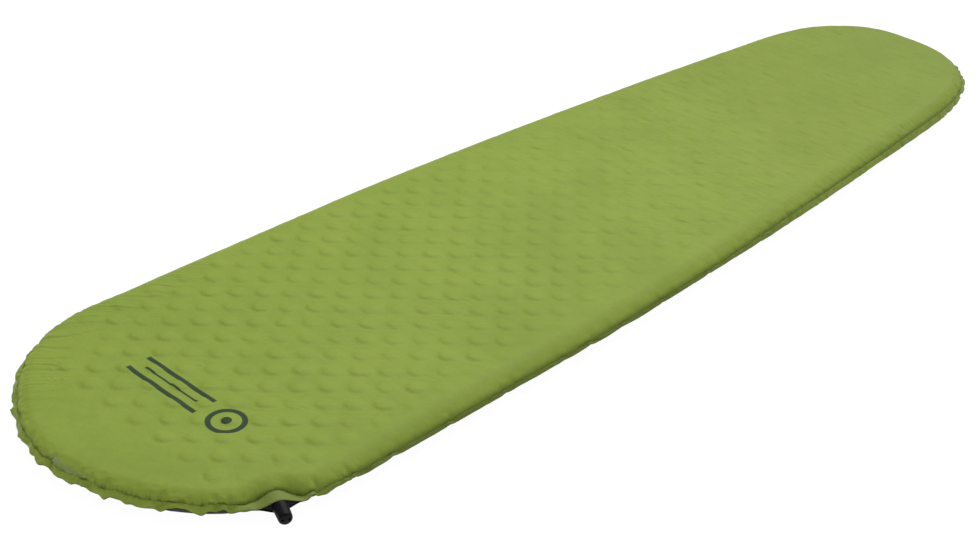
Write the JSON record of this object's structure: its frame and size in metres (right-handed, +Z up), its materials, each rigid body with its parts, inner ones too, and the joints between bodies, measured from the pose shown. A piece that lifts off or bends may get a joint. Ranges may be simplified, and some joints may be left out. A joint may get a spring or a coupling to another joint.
{
  "type": "self-inflating sleeping pad",
  "caption": "Tapered full-length self-inflating sleeping pad: foam core in two welded fabric covers, with a twist-open air valve in the edge flange.",
  "frame": {"origin": "on the flat underside, at the middle of the outline's length and width", "axes": "+X along the pad from the head end with the valve to the foot end, +Z up, away from the surface it lies on; the valve is on the -Y side"},
  "size_m": [1.829, 0.506, 0.038],
  "materials": {
    "top_fabric": "olive green coated polyester, fine plain weave, low sheen",
    "bottom_fabric": "black coated polyester, fine plain weave, matte",
    "core_foam": "cream open-cell polyurethane foam",
    "weld_plastic": "black weldable thermoplastic polyurethane, satin",
    "valve_plastic": "black moulded plastic, fine satin texture",
    "seal_rubber": "black nitrile rubber, matte"
  },
  "bodies": {
    "pad": {"top_cover": "top_fabric", "bottom_cover": "bottom_fabric", "foam_core": "core_foam", "valve_base": "weld_plastic", "valve_barrel": "valve_plastic", "valve_barrel_seal": "seal_rubber"},
    "knob_slide": {"valve_plug_seal": "seal_rubber"},
    "knob": {"valve_knob": "valve_plastic"}
  },
  "joints": [
    {"name": "knob_travel", "type": "slide", "parent": "pad", "child": "knob_slide", "axis": [-0.4305, -0.9026, 0], "range_m": [0, 0.004]},
    {"name": "knob_turn", "type": "hinge", "parent": "knob_slide", "child": "knob", "pos_m": [-0.762, -0.228, 0.019], "axis": [-0.4305, -0.9026, 0], "range_deg": [0, 450]}
  ],
  "couplings": [
    {"joint": "knob_turn", "follows": "knob_travel", "rad_per_m": 1963.5}
  ]
}
